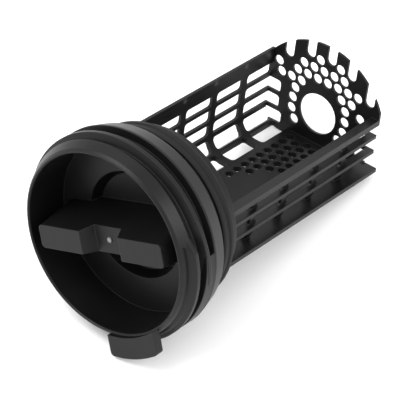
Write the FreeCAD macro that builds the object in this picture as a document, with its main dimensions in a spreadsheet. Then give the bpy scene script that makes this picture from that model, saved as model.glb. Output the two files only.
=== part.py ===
import FreeCAD, Part
import Sketcher
import math
import os

# Washer drain pump filter: a screw-in cap, a rubber seal and a perforated basket that swivels on the cap.
# Y is the screw axis with the basket towards +Y, Z is up with the basket's open side on top.
# Stations along Y are counted from the plane of the cup's mouth.
# The finished pieces are placed so that the origin lies on the axis, at the middle of the seal.

os.makedirs("parts", exist_ok=True)
doc = FreeCAD.newDocument("drain_pump_filter")
sheet = doc.addObject("Spreadsheet::Sheet", "sizes")
V = FreeCAD.Vector
rows_used = []


class Size:
    # A number together with the sheet formula that gives it.
    def __init__(self, value, text):
        self.value = value
        self.text = text

    def __add__(self, other):
        other = as_size(other)
        return Size(self.value + other.value, "(%s + %s)" % (self.text, other.text))

    def __radd__(self, other):
        return as_size(other) + self

    def __sub__(self, other):
        other = as_size(other)
        return Size(self.value - other.value, "(%s - %s)" % (self.text, other.text))

    def __rsub__(self, other):
        return as_size(other) - self

    def __mul__(self, other):
        other = as_size(other)
        return Size(self.value * other.value, "(%s * %s)" % (self.text, other.text))

    def __rmul__(self, other):
        return as_size(other) * self

    def __truediv__(self, other):
        other = as_size(other)
        return Size(self.value / other.value, "(%s / %s)" % (self.text, other.text))

    def __neg__(self):
        return Size(-self.value, "(-1 * %s)" % self.text)


def as_size(x):
    if isinstance(x, Size):
        return x
    return Size(float(x), "(%s)" % float(x))


def cosine(angle):
    return Size(math.cos(math.radians(angle.value)), "cos(%s)" % angle.text)


def sine(angle):
    return Size(math.sin(math.radians(angle.value)), "sin(%s)" % angle.text)


def root(area):
    return Size(math.sqrt(area.value), "sqrt(%s)" % area.text)


def size(name, value):
    rows_used.append(name)
    cell = "A%d" % len(rows_used)
    sheet.set(cell, str(value))
    sheet.setAlias(cell, name)
    return Size(float(value), "sizes." + name)


zero = as_size(0)

# Fits
running_gap = size("running_gap", 0.05)
swivel_float = size("swivel_float", 0.35)
overlap = size("overlap", 0.6)

# Cap: cup, lip and spigot
cap_turn = size("cap_turn", 19.8)
mouth_r = size("mouth_r", 36.0)
lip_front = size("lip_front", 0.9)
lip_wall = size("lip_wall", 1.3)
lip_round = size("lip_round", 1.2)
lip_rise = size("lip_rise", 1.5)
lip_crest = size("lip_crest", 3.8)
lip_back = size("lip_back", 5.9)
lip_groove = size("lip_groove", 3.0)
lip_groove_middle = size("lip_groove_middle", 1.7)
lip_groove_wall = size("lip_groove_wall", 1.6)
lip_groove_from = size("lip_groove_from", 25)
lip_groove_span = size("lip_groove_span", 170)
cup_wall = size("cup_wall", 2.2)
cup_floor = size("cup_floor", 17.8)
cup_floor_r = size("cup_floor_r", 35.2)
well_mouth_r = size("well_mouth_r", 21.6)
well_floor_r = size("well_floor_r", 19.5)
well_floor = size("well_floor", 21.7)
floor_wall = size("floor_wall", 2.5)
shoulder_front = size("shoulder_front", 13.6)
shoulder_rise = size("shoulder_rise", 3.0)
shoulder_back = size("shoulder_back", 21.2)
shoulder_taper = size("shoulder_taper", 1.8)
neck_r = size("neck_r", 35.2)
spigot_bore_r = size("spigot_bore_r", 29.4)
collar_wall = size("collar_wall", 1.75)
collar_r = size("collar_r", 33.6)

# Cap: thread
thread_pitch = size("thread_pitch", 5.1)
thread_rise = size("thread_rise", 3.1)
thread_crest = size("thread_crest", 1.6)
thread_foot = size("thread_foot", 4.6)
thread_start = size("thread_start", 4.2)
thread_angle = size("thread_angle", 20)
thread_turns = size("thread_turns", 0.964)
lead_in_angle = size("lead_in_angle", 11)
lead_in_shift = size("lead_in_shift", 0.6)
lead_pitch = size("lead_pitch", 25)
lead_turns = size("lead_turns", 0.1)
stop_front = size("stop_front", 9.2)
stop_from = size("stop_from", 14.5)
stop_span = size("stop_span", 110)

# Cap: grip bar and tab
bar_front = size("bar_front", 2.0)
bar_half_length = size("bar_half_length", 30.1)
bar_half_height = size("bar_half_height", 4.7)
bar_draft = size("bar_draft", 7)
bar_corner = size("bar_corner", 1.6)
dip_floor = size("dip_floor", 3.7)
dip_half = size("dip_half", 6.7)
dip_mouth_half = size("dip_mouth_half", 9.6)
gate_r = size("gate_r", 1.1)
gate_rise = size("gate_rise", 0.35)
tab_r = size("tab_r", 45.2)
tab_front = size("tab_front", 3.0)
tab_depth = size("tab_depth", 3.6)
tab_left = size("tab_left", -4.2)
tab_right = size("tab_right", 19.3)
tab_round = size("tab_round", 1.6)

# Swivel hub
hub_r = size("hub_r", 12.0)
hub_core_r = size("hub_core_r", 9.2)
bead_rise = size("bead_rise", 0.8)
bead_length = size("bead_length", 2.4)
hub_slot = size("hub_slot", 2.6)

# Seal
seal_seat = size("seal_seat", 25.95)
seal_bed_r = size("seal_bed_r", 31.9)
seal_r = size("seal_r", 36.3)
seal_land_r = size("seal_land_r", 35.8)
seal_length = size("seal_length", 5.9)
seal_lip = size("seal_lip", 2.6)

# Basket: disc, trough and end plate
disc_r = size("disc_r", 33.3)
disc_wall = size("disc_wall", 2.5)
trough_half = size("trough_half", 25.0)
trough_wall = size("trough_wall", 1.3)
floor_thick = size("floor_thick", 2.3)
bend_r = size("bend_r", 8.0)
bend_z = size("bend_z", -5.5)
left_top = size("left_top", 19.6)
right_top = size("right_top", 10.6)
right_rim_x = size("right_rim_x", 28.8)
right_rim_wall = size("right_rim_wall", 2.6)
guide_x = size("guide_x", 30.8)
guide_top = size("guide_top", -11.4)
guide_wall = size("guide_wall", 1.8)
rib_reach = size("rib_reach", 2.0)
plate_back = size("plate_back", 133.2)
plate_wall = size("plate_wall", 1.1)
plate_r = size("plate_r", 31.8)
drain_r = size("drain_r", 8.9)

# Basket: slots
slot_length = size("slot_length", 16.4)
slot_height = size("slot_height", 5.4)
slot_corner = size("slot_corner", 1.5)
slot_first = size("slot_first", 46.25)
slot_step = size("slot_step", 19.5)
slot_columns = 5
slot_rise = size("slot_rise", 7.05)
left_row_z = size("left_row_z", 3.7)
top_slot_height = size("top_slot_height", 4.8)
right_row_z = size("right_row_z", -1.15)
left_bend_angle = size("left_bend_angle", 37)
right_bend_angle = size("right_bend_angle", 24)
bend_row_depth = size("bend_row_depth", 3.4)
floor_row_x = size("floor_row_x", 17.0)
floor_slot_width = size("floor_slot_width", 7.0)
arm_inner = size("arm_inner", 19.3)
arm_low_inner = size("arm_low_inner", 17.2)
arm_low_z = size("arm_low_z", -10.3)
right_arm_top = size("right_arm_top", 23.4)
right_arm_middle = size("right_arm_middle", 20.8)
right_arm_low = size("right_arm_low", 19.6)
right_arm_low_z = size("right_arm_low_z", -8.2)
notch_step = size("notch_step", 10.2)
notch_middle = size("notch_middle", 2.9)
notch_half = size("notch_half", 2.25)
notch_depth = size("notch_depth", 7.4)

# Basket: round holes
hole_r = size("hole_r", 2.15)
hole_pitch = size("hole_pitch", 5.0)
hole_rise = size("hole_rise", 4.35)
hole_first_z = size("hole_first_z", 6.75)
edge_hole_x = size("edge_hole_x", 21.8)
right_hole_x = size("right_hole_x", 20.0)
ring_hole_r = size("ring_hole_r", 13.2)
ring_hole_from = size("ring_hole_from", 9)
ring_hole_step = size("ring_hole_step", 21.5)
floor_hole_r = size("floor_hole_r", 1.85)
floor_hole_last = size("floor_hole_last", 128.2)

# Values that follow from the ones above
root_r = mouth_r + cup_wall
lip_r = root_r + lip_rise
lip_groove_r = mouth_r + lip_groove_wall
shoulder_r = root_r + shoulder_rise
thread_crest_r = root_r + thread_rise
seal_back = seal_seat + seal_length + running_gap
collar_back = seal_back + collar_wall
disc_front = collar_back + swivel_float
disc_back = disc_front + disc_wall
bead_front = disc_back + swivel_float
plate_front = plate_back - plate_wall
trough_floor = bend_z - bend_r
outer_half = trough_half + trough_wall
outer_floor = trough_floor - floor_thick
outer_bend_z = outer_floor + bend_r + trough_wall
bend_x = trough_half - bend_r
outer_bend_r = bend_r + trough_wall
seal_middle = seal_seat + (seal_length + running_gap) / 2


def own_plane(body, role):
    return [f for f in body.Origin.OriginFeatures if f.Role == role][0]


def sketch_on(body, role, name, base=(zero, zero, zero), turn=zero):
    sk = body.newObject("Sketcher::SketchObject", name)
    sk.AttachmentSupport = [(own_plane(body, role), "")]
    sk.MapMode = "FlatFace"
    spin = FreeCAD.Rotation(V(1, 0, 0), turn.value)
    sk.AttachmentOffset = FreeCAD.Placement(V(*[b.value for b in base]), spin)
    for axis, b in zip("xyz", base):
        if b is not zero:
            sk.setExpression("AttachmentOffset.Base." + axis, b.text)
    if turn is not zero:
        sk.setExpression("AttachmentOffset.Rotation.Angle", turn.text)
    return sk


def hold(sk, kind, geo, point, x):
    if abs(x.value) < 1e-7:
        axis = -2 if kind == "DistanceX" else -1
        sk.addConstraint(Sketcher.Constraint("PointOnObject", geo, point, axis))
        return
    n = sk.addConstraint(Sketcher.Constraint(kind, -1, 1, geo, point, x.value))
    sk.setExpression("Constraints[%d]" % n, x.text)


def outline(sk, corners):
    # Each corner is (x, y), or (x, y, radius, centre, ccw) where an arc leads on to the next corner.
    first = sk.GeometryCount
    count = len(corners)
    for i, c in enumerate(corners):
        d = corners[(i + 1) % count]
        a = V(c[0].value, c[1].value, 0)
        b = V(d[0].value, d[1].value, 0)
        if len(c) == 2:
            sk.addGeometry(Part.LineSegment(a, b))
            continue
        mid = V(c[3][0].value, c[3][1].value, 0)
        circle = Part.Circle(mid, V(0, 0, 1), c[2].value)
        t0 = math.atan2(a.y - mid.y, a.x - mid.x)
        t1 = math.atan2(b.y - mid.y, b.x - mid.x)
        if c[4]:
            sk.addGeometry(Part.ArcOfCircle(circle, t0, t1 if t1 > t0 else t1 + 2 * math.pi))
        else:
            sk.addGeometry(Part.ArcOfCircle(circle, t1, t0 if t0 > t1 else t0 + 2 * math.pi))
    for i, c in enumerate(corners):
        j = (i + 1) % count
        leave = 2 if len(c) == 2 or c[4] else 1
        arrive = 1 if len(corners[j]) == 2 or corners[j][4] else 2
        sk.addConstraint(Sketcher.Constraint("Coincident", first + i, leave, first + j, arrive))
        start = 1 if len(c) == 2 or c[4] else 2
        hold(sk, "DistanceX", first + i, start, c[0])
        hold(sk, "DistanceY", first + i, start, c[1])
        if len(c) > 2:
            n = sk.addConstraint(Sketcher.Constraint("Radius", first + i, c[2].value))
            sk.setExpression("Constraints[%d]" % n, c[2].text)


def round_box(sk, x0, x1, y0, y1, r):
    outline(sk, [
        (x0 + r, y0),
        (x1 - r, y0, r, (x1 - r, y0 + r), True),
        (x1, y0 + r),
        (x1, y1 - r, r, (x1 - r, y1 - r), True),
        (x1 - r, y1),
        (x0 + r, y1, r, (x0 + r, y1 - r), True),
        (x0, y1 - r),
        (x0, y0 + r, r, (x0 + r, y0 + r), True)])


def box(sk, x0, x1, y0, y1):
    outline(sk, [(x0, y0), (x1, y0), (x1, y1), (x0, y1)])


def round_hole(sk, x, y, r):
    g = sk.addGeometry(Part.Circle(V(x.value, y.value, 0), V(0, 0, 1), r.value))
    hold(sk, "DistanceX", g, 3, x)
    hold(sk, "DistanceY", g, 3, y)
    n = sk.addConstraint(Sketcher.Constraint("Radius", g, r.value))
    sk.setExpression("Constraints[%d]" % n, r.text)


def raise_by(body, sk, name, length, back=False, draft=None):
    pad = body.newObject("PartDesign::Pad", name)
    pad.Profile = (sk, [""])
    pad.Length = length.value
    pad.setExpression("Length", length.text)
    pad.Reversed = back
    if draft:
        pad.TaperAngle = draft.value
        pad.setExpression("TaperAngle", draft.text)
    return pad


def cut_by(body, sk, name, length, back=False):
    before = body.Shape.Volume
    cut = body.newObject("PartDesign::Pocket", name)
    cut.Profile = (sk, [""])
    cut.Length = length.value
    cut.setExpression("Length", length.text)
    cut.Reversed = back
    doc.recompute()
    if cut.Shape.Volume > before - 0.1:
        raise RuntimeError("nothing cut by " + name)
    return cut


def repeat_along(body, feature, name, sk, axis, span, count):
    pattern = body.newObject("PartDesign::LinearPattern", name)
    pattern.Originals = [feature]
    pattern.Direction = (sk, [axis])
    pattern.Length = span.value
    pattern.setExpression("Length", span.text)
    pattern.Occurrences = count
    body.Tip = pattern
    doc.recompute()
    return pattern


def spin_up(body, sk, name):
    turned = body.newObject("PartDesign::Revolution", name)
    turned.Profile = (sk, [""])
    turned.ReferenceAxis = (sk, ["H_Axis"])
    turned.Angle = 360
    return turned


def thread_section(body, name, angle, middle, crest_r):
    # The thread's section, drawn in the plane that stands at this angle.
    sk = sketch_on(body, "YZ_Plane", name, turn=90 - angle)
    sunk = root_r - overlap
    outline(sk, [
        (middle - thread_foot / 2, sunk),
        (middle + thread_foot / 2, sunk),
        (middle + thread_crest / 2, crest_r),
        (middle - thread_crest / 2, crest_r)])
    return sk


def ridge(body, name, angle, middle, pitch, turns):
    sk = thread_section(body, name + "_section", angle, middle, thread_crest_r)
    helix = body.newObject("PartDesign::AdditiveHelix", name)
    helix.Profile = (sk, [""])
    helix.ReferenceAxis = (sk, ["H_Axis"])
    helix.Mode = "pitch-turns-angle"
    helix.Pitch = pitch.value
    helix.Turns = turns.value
    helix.setExpression("Pitch", pitch.text)
    helix.setExpression("Turns", turns.text)
    helix.LeftHanded = False
    helix.Reversed = False
    doc.recompute()
    return helix


def sector(sk, r0, r1, a0, a1):
    middle = (zero, zero)
    outline(sk, [
        (r0 * cosine(a0), r0 * sine(a0)),
        (r1 * cosine(a0), r1 * sine(a0), r1, middle, True),
        (r1 * cosine(a1), r1 * sine(a1)),
        (r0 * cosine(a1), r0 * sine(a1), r0, middle, False)])


def soften(body, name, edges, r):
    feature = body.Tip
    names = ["Edge%d" % (i + 1) for i, e in enumerate(feature.Shape.Edges) if edges(e)]
    if not names:
        raise RuntimeError("no edges for " + name)
    fillet = body.newObject("PartDesign::Fillet", name)
    fillet.Base = (feature, names)
    fillet.Radius = r.value
    fillet.setExpression("Radius", r.text)
    doc.recompute()
    return fillet


def settle(body, turn=zero):
    body.Placement = FreeCAD.Placement(V(0, -seal_middle.value, 0), FreeCAD.Rotation(V(0, 1, 0), turn.value))
    body.setExpression("Placement.Base.y", (-seal_middle).text)
    if turn is not zero:
        body.setExpression("Placement.Rotation.Angle", turn.text)
    doc.recompute()


# Cap: one moulding
cap = doc.addObject("PartDesign::Body", "filter_cap")
cap.Label = "filter_cap"
bead_r = hub_r + bead_rise
hub_end = bead_front + bead_length
back_face = well_floor + floor_wall
sk = sketch_on(cap, "YZ_Plane", "cap_section")
outline(sk, [
    (zero, mouth_r),
    (cup_floor, cup_floor_r),
    (cup_floor, well_mouth_r),
    (well_floor, well_floor_r),
    (well_floor, zero),
    (back_face, zero),
    (back_face, hub_core_r),
    (hub_end, hub_core_r),
    (hub_end, hub_r),
    (bead_front + bead_length / 3, bead_r),
    (bead_front, bead_r),
    (bead_front, hub_r),
    (back_face, hub_r),
    (back_face, spigot_bore_r),
    (collar_back, spigot_bore_r),
    (collar_back, collar_r),
    (seal_back, collar_r),
    (seal_back, seal_bed_r),
    (seal_seat, seal_bed_r),
    (seal_seat, neck_r),
    (shoulder_back, neck_r),
    (shoulder_back, shoulder_r - shoulder_taper),
    (shoulder_front + lip_round, shoulder_r),
    (shoulder_front + lip_round / 3, shoulder_r),
    (shoulder_front, root_r),
    (lip_back, root_r),
    (lip_back - lip_round / 2, root_r + lip_round * 2 / 3),
    (lip_crest + lip_round / 2, lip_r - lip_round / 3),
    (lip_crest, lip_r),
    (lip_crest - lip_round, lip_r - lip_round / 2),
    (zero, mouth_r + lip_wall + lip_front / 2),
    (-lip_front / 2, mouth_r + lip_wall),
    (-lip_front, mouth_r + lip_wall * 2 / 3),
    (-lip_front, mouth_r + lip_wall / 3),
    (-lip_front / 2, mouth_r)])
spin_up(cap, sk, "cap_body")
doc.recompute()

groove_plane = lip_groove_from - cap_turn
sk = sketch_on(cap, "YZ_Plane", "lip_groove_section", turn=90 - groove_plane)
outline(sk, [
    (lip_groove_middle - lip_groove / 2, lip_r),
    (lip_groove_middle - lip_groove / 6, lip_groove_r),
    (lip_groove_middle + lip_groove / 6, lip_groove_r),
    (lip_groove_middle + lip_groove / 2, lip_r)])
doc.recompute()
before = cap.Shape.Volume
hollow = cap.newObject("PartDesign::Groove", "lip_groove_cut")
hollow.Profile = (sk, [""])
hollow.ReferenceAxis = (sk, ["H_Axis"])
hollow.Angle = lip_groove_span.value
hollow.setExpression("Angle", lip_groove_span.text)
doc.recompute()
if hollow.Shape.Volume > before - 0.1:
    raise RuntimeError("nothing cut by lip_groove_cut")

thread_at = thread_angle - cap_turn
ridge(cap, "thread", thread_at, thread_start, thread_pitch, thread_turns)
low_crest_r = root_r + lip_rise / 2
lead_in_y = thread_start - lead_in_shift
low_end = thread_section(cap, "lead_in_low_end", thread_at + lead_in_angle, lead_in_y, low_crest_r)
full_end = thread_section(cap, "lead_in_full_end", thread_at, thread_start, thread_crest_r)
ramp = cap.newObject("PartDesign::AdditiveLoft", "thread_lead_in")
ramp.Profile = (low_end, [""])
ramp.Sections = [(full_end, [""])]
ramp.Ruled = True
doc.recompute()
lead_out_at = thread_at - 360 * thread_turns
lead_out_y = thread_start + thread_pitch * thread_turns
ridge(cap, "thread_lead_out", lead_out_at, lead_out_y, lead_pitch, lead_turns)

stop_angle = stop_from - cap_turn
sk = sketch_on(cap, "XZ_Plane", "stop_outline", (zero, zero, -stop_front))
sector(sk, root_r - overlap, shoulder_r - running_gap, stop_angle - stop_span, stop_angle)
raise_by(cap, sk, "thread_stop", shoulder_front - stop_front + lip_round, back=True)
doc.recompute()

sk = sketch_on(cap, "XZ_Plane", "bar_outline", (zero, zero, bar_front))
round_box(sk, -bar_half_length, bar_half_length, -bar_half_height, bar_half_height, bar_corner)
raise_by(cap, sk, "grip_bar", bar_front + well_floor + overlap, back=True, draft=bar_draft)
doc.recompute()

dip_reach = 4 * bar_half_height
dip_clear = bar_front + dip_floor
dip_open = dip_mouth_half + (dip_mouth_half - dip_half) * bar_front / dip_clear
sk = sketch_on(cap, "XY_Plane", "dip_outline", (zero, zero, -dip_reach / 2))
outline(sk, [
    (-dip_half, dip_floor),
    (-dip_open, -bar_front - bar_front),
    (dip_open, -bar_front - bar_front),
    (dip_half, dip_floor)])
cut_by(cap, sk, "grip_dip", dip_reach, back=True)

sk = sketch_on(cap, "XZ_Plane", "gate_outline", (zero, zero, -dip_floor - gate_rise))
round_hole(sk, zero, zero, gate_r)
raise_by(cap, sk, "gate_mark", gate_rise + gate_rise)
doc.recompute()

sk = sketch_on(cap, "XZ_Plane", "tab_outline", (zero, zero, tab_front))
tab_root_r = mouth_r + lip_wall / 2
outline(sk, [
    (tab_left, -root(tab_root_r * tab_root_r - tab_left * tab_left)),
    (tab_left, -root(tab_r * tab_r - tab_left * tab_left), tab_r, (zero, zero), True),
    (tab_right, -root(tab_r * tab_r - tab_right * tab_right)),
    (tab_right, -root(tab_root_r * tab_root_r - tab_right * tab_right), tab_root_r, (zero, zero), False)])
raise_by(cap, sk, "tab", tab_depth, back=True)
doc.recompute()


def tab_corner(e):
    ends = [v.Point for v in e.Vertexes]
    if len(ends) < 2:
        return False
    far = all(math.hypot(p.x, p.z) > tab_r.value - 0.05 for p in ends)
    return far and abs(ends[0].y - ends[1].y) > tab_depth.value / 2


soften(cap, "tab_corners", tab_corner, tab_round)

sk = sketch_on(cap, "XZ_Plane", "hub_slot_outline", (zero, zero, -hub_end - overlap))
box(sk, -bead_r - overlap, bead_r + overlap, -hub_slot / 2, hub_slot / 2)
cut_by(cap, sk, "hub_slot_across", hub_end - back_face, back=True)
sk = sketch_on(cap, "XZ_Plane", "hub_slot_outline_up", (zero, zero, -hub_end - overlap))
box(sk, -hub_slot / 2, hub_slot / 2, -bead_r - overlap, bead_r + overlap)
cut_by(cap, sk, "hub_slot_up", hub_end - back_face, back=True)

settle(cap, 360 - cap_turn)

# Seal: one rubber ring with two raised lips, slipped on the spigot
seal = doc.addObject("PartDesign::Body", "seal_ring")
seal.Label = "seal_ring"
seal_front = seal_seat + running_gap / 2
seal_end = seal_front + seal_length
seal_in = seal_bed_r + running_gap
sk = sketch_on(seal, "YZ_Plane", "seal_section")
outline(sk, [
    (seal_front, seal_in),
    (seal_end, seal_in),
    (seal_end, seal_land_r),
    (seal_end - seal_lip / 4, seal_r),
    (seal_end - seal_lip * 3 / 4, seal_r),
    (seal_end - seal_lip, seal_land_r),
    (seal_front + seal_lip, seal_land_r),
    (seal_front + seal_lip * 3 / 4, seal_r),
    (seal_front + seal_lip / 4, seal_r),
    (seal_front, seal_land_r)])
spin_up(seal, sk, "seal_body")
settle(seal)

# Basket: one moulding
basket = doc.addObject("PartDesign::Body", "filter_basket")
basket.Label = "filter_basket"
sk = sketch_on(basket, "XZ_Plane", "disc_outline", (zero, zero, -disc_front))
round_hole(sk, zero, zero, disc_r)
round_hole(sk, zero, zero, hub_r + running_gap)
raise_by(basket, sk, "disc", disc_wall, back=True)
doc.recompute()

trough_start = disc_back - overlap
sk = sketch_on(basket, "XZ_Plane", "trough_outline", (zero, zero, -trough_start))
left_bend = (-bend_x, bend_z)
right_bend = (bend_x, bend_z)
left_outer_bend = (-bend_x, outer_bend_z)
right_outer_bend = (bend_x, outer_bend_z)
outline(sk, [
    (-trough_half, left_top),
    (-outer_half, left_top),
    (-outer_half, outer_bend_z, outer_bend_r, left_outer_bend, True),
    (-bend_x, outer_floor),
    (bend_x, outer_floor, outer_bend_r, right_outer_bend, True),
    (outer_half, outer_bend_z),
    (outer_half, right_top - right_rim_wall),
    (right_rim_x, right_top - right_rim_wall),
    (right_rim_x, right_top),
    (trough_half, right_top),
    (trough_half, bend_z, bend_r, right_bend, False),
    (bend_x, trough_floor),
    (-bend_x, trough_floor, bend_r, left_bend, False),
    (-trough_half, bend_z)])
raise_by(basket, sk, "trough", plate_back - trough_start, back=True)
doc.recompute()

# Basket: slots in the walls, the bends and along the floor's edges
slot_span = slot_step * (slot_columns - 1)
slot_y0 = slot_first - slot_length / 2
slot_y1 = slot_first + slot_length / 2
wall_reach = trough_half + rib_reach + rib_reach
half = slot_height / 2
top_slot_foot = left_row_z + slot_rise - half
left_rows = [
    (left_row_z - slot_rise - half, left_row_z - slot_rise + half),
    (left_row_z - half, left_row_z + half),
    (top_slot_foot, top_slot_foot + top_slot_height)]
right_rows = [
    (right_row_z - half, right_row_z + half),
    (right_row_z + slot_rise - half, right_top - right_rim_wall)]
for side, back, rows in (("left", False, left_rows), ("right", True, right_rows)):
    sk = sketch_on(basket, "YZ_Plane", side + "_slots")
    for low, high in rows:
        round_box(sk, slot_y0, slot_y1, low, high, slot_corner)
    cut = cut_by(basket, sk, side + "_slot_cut", wall_reach, back=back)
    repeat_along(basket, cut, side + "_slot_rows", sk, "H_Axis", slot_span, slot_columns)

for side, sign, angle in (("left", -1, left_bend_angle), ("right", 1, right_bend_angle)):
    spot = (zero, bend_z, sign * bend_x)
    sk = sketch_on(basket, "YZ_Plane", side + "_bend_slots", spot, sign * angle)
    round_box(sk, slot_y0, slot_y1, -slot_height / 2, slot_height / 2, slot_corner)
    cut = cut_by(basket, sk, side + "_bend_cut", bend_r + bend_row_depth, back=sign > 0)
    repeat_along(basket, cut, side + "_bend_rows", sk, "H_Axis", slot_span, slot_columns)

sk = sketch_on(basket, "XY_Plane", "floor_slots", (zero, zero, bend_z))
floor_slot_edge = floor_slot_width / 2 - floor_row_x
round_box(sk, floor_slot_edge - floor_slot_width, floor_slot_edge, slot_y0, slot_y1, slot_corner)
cut = cut_by(basket, sk, "floor_slot_cut", bend_r + floor_thick + overlap)
repeat_along(basket, cut, "floor_slot_rows", sk, "V_Axis", slot_span, slot_columns)

# Basket: round holes in the floor near the end plate
sk = sketch_on(basket, "XY_Plane", "floor_holes", (zero, zero, bend_z))
for lane, count in ((-2, 9), (-1, 7), (0, 6), (1, 5), (2, 5)):
    for n in range(count):
        y = floor_hole_last - hole_pitch * (n + 0.5 * (lane % 2))
        round_hole(sk, hole_rise * lane, y, floor_hole_r)
cut_by(basket, sk, "floor_hole_cut", bend_r + floor_thick + overlap)

# Basket: end plate
left_edge_z = root(plate_r * plate_r - outer_half * outer_half)
right_edge_z = root(plate_r * plate_r - right_rim_x * right_rim_x)
sk = sketch_on(basket, "XZ_Plane", "plate_outline", (zero, zero, -plate_front))
outline(sk, [
    (right_rim_x, right_top - right_rim_wall),
    (right_rim_x, right_edge_z, plate_r, (zero, zero), True),
    (-outer_half, left_edge_z),
    (-outer_half, outer_bend_z, outer_bend_r, left_outer_bend, True),
    (-bend_x, outer_floor),
    (bend_x, outer_floor, outer_bend_r, right_outer_bend, True),
    (outer_half, outer_bend_z),
    (outer_half, right_top - right_rim_wall)])
raise_by(basket, sk, "end_plate", plate_wall, back=True)
doc.recompute()

plate_clear = plate_front - overlap
plate_cut = plate_wall + overlap + overlap
sk = sketch_on(basket, "XZ_Plane", "plate_holes", (zero, zero, -plate_clear))
round_hole(sk, zero, zero, drain_r)
plate_rows = [
    (0, (-5, 5)),
    (1, (-8, -6, -4, 4, 6)),
    (2, (-5, -3, -1, 1, 3, 5, 7)),
    (3, (-4, -2, 0, 2, 4)),
    (4, (-1, 3))]
for row, places in plate_rows:
    for n in places:
        round_hole(sk, hole_pitch * (n / 2), hole_first_z + hole_rise * row, hole_r)
round_hole(sk, -edge_hole_x, hole_first_z + hole_rise * 2, hole_r)
round_hole(sk, right_hole_x, hole_first_z, hole_r)
for n in range(3):
    angle = ring_hole_from - ring_hole_step * n
    for sign in (-1, 1):
        round_hole(sk, sign * ring_hole_r * cosine(angle), ring_hole_r * sine(angle), hole_r)
cut_by(basket, sk, "plate_hole_cut", plate_cut)

sk = sketch_on(basket, "XZ_Plane", "plate_notches", (zero, zero, -plate_clear))
for n in (-2, -1, 0, 1, 2):
    x = notch_middle + notch_step * n
    top = root(plate_r * plate_r - x * x)
    foot = top - notch_depth + notch_half
    above = plate_r + notch_half
    outline(sk, [
        (x + notch_half, above),
        (x - notch_half, above),
        (x - notch_half, foot, notch_half, (x, foot), True),
        (x, foot - notch_half, notch_half, (x, foot), True),
        (x + notch_half, foot)])
cut_by(basket, sk, "plate_notch_cut", plate_cut)

sk = sketch_on(basket, "XZ_Plane", "plate_arms", (zero, zero, -plate_clear))
for z, inner in ((left_row_z, arm_inner), (left_row_z - slot_rise, arm_inner), (arm_low_z, arm_low_inner)):
    round_box(sk, -wall_reach, -inner, z - half, z + half, slot_corner)
right_arms = [right_rows[1] + (right_arm_top,), right_rows[0] + (right_arm_middle,)]
right_arms.append((right_arm_low_z - half, right_arm_low_z + half, right_arm_low))
for low, high, inner in right_arms:
    round_box(sk, inner, wall_reach, low, high, slot_corner)
cut_by(basket, sk, "plate_arm_cut", plate_cut)

# Basket: ribs on the right wall and the guide along its bottom edge
sk = sketch_on(basket, "XZ_Plane", "rib_outline", (zero, zero, -trough_start))
bar = slot_rise - slot_height
for n in (0.5, -0.5):
    z = right_row_z + slot_rise * n
    box(sk, outer_half - trough_wall / 2, outer_half + rib_reach, z - bar / 2, z + bar / 2)
raise_by(basket, sk, "wall_ribs", plate_back - trough_start, back=True)
doc.recompute()

sk = sketch_on(basket, "XZ_Plane", "guide_outline", (zero, zero, -trough_start))
guide_middle = bend_z - guide_top + guide_wall / 2
guide_root = bend_x + root(bend_r * bend_r - guide_middle * guide_middle) + trough_wall / 2
box(sk, guide_root, guide_x, guide_top - guide_wall, guide_top)
raise_by(basket, sk, "guide", plate_back - trough_start, back=True)
settle(basket)

# Write the parts
faults = []
for thing in doc.Objects:
    bad = [s for s in thing.State if "Invalid" in s or "Error" in s]
    if bad:
        faults.append("%s: %s" % (thing.Name, bad))
for body in (cap, seal, basket):
    shape = body.Shape
    if shape.isNull() or not shape.isValid() or len(shape.Solids) != 1:
        faults.append("%s: shape null, not valid or in pieces" % body.Label)
if faults:
    raise RuntimeError("; ".join(faults))
for body in (cap, seal, basket):
    body.Shape.exportStep("parts/%s.step" % body.Label)
    b = body.Shape.BoundBox
    print("%s volume %.0f mm3, x %.1f..%.1f y %.1f..%.1f z %.1f..%.1f" % (
        body.Label, body.Shape.Volume, b.XMin, b.XMax, b.YMin, b.YMax, b.ZMin, b.ZMax))
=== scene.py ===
import bpy
import math
from mathutils import Matrix, Vector

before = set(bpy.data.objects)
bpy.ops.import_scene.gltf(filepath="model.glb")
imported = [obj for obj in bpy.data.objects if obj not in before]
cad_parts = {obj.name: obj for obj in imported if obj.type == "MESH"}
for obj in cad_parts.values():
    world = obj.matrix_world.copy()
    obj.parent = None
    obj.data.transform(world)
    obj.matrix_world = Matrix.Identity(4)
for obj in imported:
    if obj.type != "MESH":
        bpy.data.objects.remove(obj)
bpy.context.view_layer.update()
scene = bpy.context.scene


class Flow:  # one shader socket, so that sums on it read as sums
    def __init__(self, tree, socket=None):
        self.tree = tree
        self.socket = socket

    def make(self, kind, settings=None, inputs=None, out=0):
        node = self.tree.nodes.new("ShaderNode" + kind)
        for key, value in (settings or {}).items():
            setattr(node, key, value)
        for key, value in (inputs or {}).items():
            if isinstance(value, Flow):
                self.tree.links.new(value.socket, node.inputs[key])
            else:
                node.inputs[key].default_value = value
        return Flow(self.tree, node.outputs[out])

    def math(self, operation, first, second):
        return self.make("Math", {"operation": operation}, {0: first, 1: second})

    def noise(self, where, scale, detail):
        return self.make("TexNoise", {}, {"Vector": where, "Scale": scale, "Detail": detail})

    def ramp(self, low, high):
        return self.make("MapRange", {}, {"Value": self, "From Min": low, "From Max": high})

    def blend(self, below, above):
        # inputs 6 and 7 and output 2 are the colour sockets of the node
        return self.make("Mix", {"data_type": "RGBA"}, {0: self, 6: below, 7: above}, out=2)

    def feed(self, socket):
        self.tree.links.new(self.socket, socket)

    def __add__(self, other):
        return self.math("ADD", self, other)

    def __radd__(self, other):
        return self.math("ADD", other, self)

    def __sub__(self, other):
        return self.math("SUBTRACT", self, other)

    def __mul__(self, other):
        return self.math("MULTIPLY", self, other)


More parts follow.
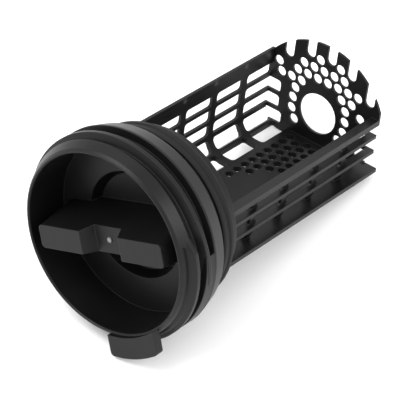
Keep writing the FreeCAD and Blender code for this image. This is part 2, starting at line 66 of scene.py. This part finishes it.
def startMaterial(name):
    mat = bpy.data.materials.new(name)
    mat.use_nodes = True
    return mat, mat.node_tree.nodes["Principled BSDF"]


def grey(shade, blue=None):
    return (shade, shade, shade if blue is None else blue, 1)


# what all three black pieces have in common
surface = {"grainDetail": 3.0, "flowDetail": 4.0, "smudgeDetail": 5.0, "noiseMiddle": 0.5,
           "edgeSamples": 6, "edgeFlat": 0.999, "edgeSharp": 0.86,
           "smudgeShare": 0.6, "flowShare": 0.4, "toneFrom": 0.35, "toneTo": 0.65,
           "grainRough": 0.1, "smudgeRough": 0.12, "grainHeight": 0.0001}


def mouldedBlack(name, look):
    mat, shader = startMaterial(name)
    flow = Flow(mat.node_tree)
    middle = surface["noiseMiddle"]
    where = flow.make("TexCoord", out="Object")
    along = flow.make("Mapping", {}, {"Vector": where, "Scale": look["flowStretch"]})
    grain = flow.noise(where, look["grainScale"], surface["grainDetail"])
    streak = flow.noise(along, look["flowScale"], surface["flowDetail"])
    smudge = flow.noise(where, look["smudgeScale"], surface["smudgeDetail"])
    rounded = flow.make("Bevel", {"samples": surface["edgeSamples"]}, {"Radius": look["edgeRound"]})
    flat = flow.make("NewGeometry", out="Normal")
    facing = flow.make("VectorMath", {"operation": "DOT_PRODUCT"}, {0: rounded, 1: flat}, out="Value")
    # painted highlight: the base colour is lightened along rounded edges, where the bevelled normal turns
    # away from the flat one
    edge = facing.ramp(surface["edgeFlat"], surface["edgeSharp"])
    mottle = smudge * surface["smudgeShare"] + streak * surface["flowShare"]
    body = mottle.ramp(surface["toneFrom"], surface["toneTo"]).blend(look["dark"], look["light"])
    highlightsAndMarks = (edge * look["edgeHighlight"]).blend(body, look["edgeHighlightTone"])
    # pale spots: the painted highlight on the sprue pip, and the ejector marks, which are real
    for spot in look.get("pale", ()):
        away = flow.make("VectorMath", {"operation": "DISTANCE"}, {0: where, 1: spot["at"]}, out="Value")
        highlightsAndMarks = away.ramp(spot["clear"], spot["full"]).blend(highlightsAndMarks, spot["tone"])
    rough = look["rough"] + (streak - middle) * look["roughSpread"]
    rough = rough + (grain - middle) * surface["grainRough"] + (smudge - middle) * surface["smudgeRough"]
    bump = flow.make("Bump", {}, {"Strength": look["grainBump"], "Distance": surface["grainHeight"],
                                  "Height": grain, "Normal": rounded})
    highlightsAndMarks.feed(shader.inputs["Base Color"])
    rough.feed(shader.inputs["Roughness"])
    bump.feed(shader.inputs["Normal"])
    shader.inputs["Specular IOR Level"].default_value = look["gloss"]
    return mat


def dress(node, mat):
    ob = bpy.data.objects[node]
    ob.data.materials.clear()
    ob.data.materials.append(mat)


# painted highlight: a pale spot on the sprue pip in the dip of the grip bar
gateHighlight = {"at": (-0.0002, -0.0258, 0.0001), "clear": 0.0014, "full": 0.0007, "tone": grey(0.19, 0.2)}
capLook = {"dark": grey(0.0036, 0.0038), "light": grey(0.006, 0.0063),
           "edgeHighlightTone": grey(0.025, 0.026), "edgeHighlight": 0.4, "edgeRound": 0.0005,
           "rough": 0.38, "roughSpread": 0.16, "grainScale": 2600, "grainBump": 0.35,
           "flowScale": 40, "flowStretch": (1, 0.3, 1), "smudgeScale": 55, "gloss": 0.2,
           "pale": [gateHighlight]}
dress("filter_cap", mouldedBlack("cap_plastic", capLook))
print("cap dressed")

# three ejector marks along the top of the left wall
marks = {"wallX": -0.025, "firstY": 0.0464, "step": 0.0195, "count": 3, "z": 0.0182,
         "clear": 0.0015, "full": 0.0007, "tone": grey(0.045, 0.047)}
markSpots = []
for n in range(marks["count"]):
    place = (marks["wallX"], marks["firstY"] + n * marks["step"], marks["z"])
    markSpots.append({"at": place, "clear": marks["clear"], "full": marks["full"], "tone": marks["tone"]})
basketLook = {"dark": grey(0.003, 0.0031), "light": grey(0.0052, 0.0054),
              "edgeHighlightTone": grey(0.03), "edgeHighlight": 0.4, "edgeRound": 0.0003,
              "rough": 0.4, "roughSpread": 0.18, "grainScale": 2600, "grainBump": 0.35,
              "flowScale": 45, "flowStretch": (1, 0.2, 1), "smudgeScale": 60, "gloss": 0.22,
              "pale": markSpots}
dress("filter_basket", mouldedBlack("basket_plastic", basketLook))
print("basket dressed")

sealLook = {"dark": grey(0.004), "light": grey(0.0075, 0.0073),
            "edgeHighlightTone": grey(0.015), "edgeHighlight": 0.4, "edgeRound": 0.0003,
            "rough": 0.55, "roughSpread": 0.12, "grainScale": 3600, "grainBump": 0.5,
            "flowScale": 30, "flowStretch": (1, 1, 1), "smudgeScale": 80, "gloss": 0.17}
dress("seal_ring", mouldedBlack("seal_rubber", sealLook))
print("seal dressed")

# the filter lies on its shoulder and on the far end of the basket
floorPlan = {"half": 3.0, "shoulder": (-0.0141, -0.0414), "end": (0.1043, -0.016), "tone": 0.95, "rough": 0.9}
bpy.ops.object.select_all(action="DESELECT")
bpy.ops.mesh.primitive_plane_add(size=2 * floorPlan["half"])
floor = bpy.context.object
floor.name = "floor"
(capY, capZ), (endY, endZ) = floorPlan["shoulder"], floorPlan["end"]
floor.rotation_euler = (math.atan2(endZ - capZ, endY - capY), 0, 0)
floor.location = (0, capY, capZ)
floorMat, floorShader = startMaterial("floor_white")
floorShader.inputs["Base Color"].default_value = grey(floorPlan["tone"])
floorShader.inputs["Roughness"].default_value = floorPlan["rough"]
floor.data.materials.append(floorMat)

skyStrength = 1.3
lamps = {
    "key": {"at": (-0.35, -0.55, 0.75), "size": 0.6, "power": 6.0},
    "fill": {"at": (0.75, -0.15, 0.55), "size": 0.5, "power": 4.2},
}
world = bpy.data.worlds.new("studio")
scene.world = world
world.use_nodes = True
sky = world.node_tree.nodes["Background"]
sky.inputs["Color"].default_value = grey(1)
sky.inputs["Strength"].default_value = skyStrength
for lampName, plan in lamps.items():
    lampData = bpy.data.lights.new(lampName, "AREA")
    lampData.size = plan["size"]
    lampData.energy = plan["power"]
    lamp = bpy.data.objects.new(lampName, lampData)
    scene.collection.objects.link(lamp)
    lamp.location = plan["at"]
    lamp.rotation_euler = (-Vector(plan["at"])).to_track_quat("-Z", "Y").to_euler()
print("floor and lamps ready")

cameraPlan = {"at": (0.43436, -0.593955, 0.50710), "lens": 214.96, "sensor": 36, "reach": 20,
              "right": (0.7735, 0.6253, 0.1039), "up": (-0.4213, 0.3847, 0.8213),
              "back": (0.4736, -0.6790, 0.5609)}
cameraData = bpy.data.cameras.new("photo_camera")
cameraData.sensor_width = cameraPlan["sensor"]
cameraData.lens = cameraPlan["lens"]
cameraData.clip_end = cameraPlan["reach"]
camera = bpy.data.objects.new("photo_camera", cameraData)
scene.collection.objects.link(camera)
turn = Matrix((cameraPlan["right"], cameraPlan["up"], cameraPlan["back"])).transposed().to_4x4()
camera.matrix_world = Matrix.Translation(cameraPlan["at"]) @ turn
scene.camera = camera
scene.view_settings.view_transform = "Standard"
print("camera ready")
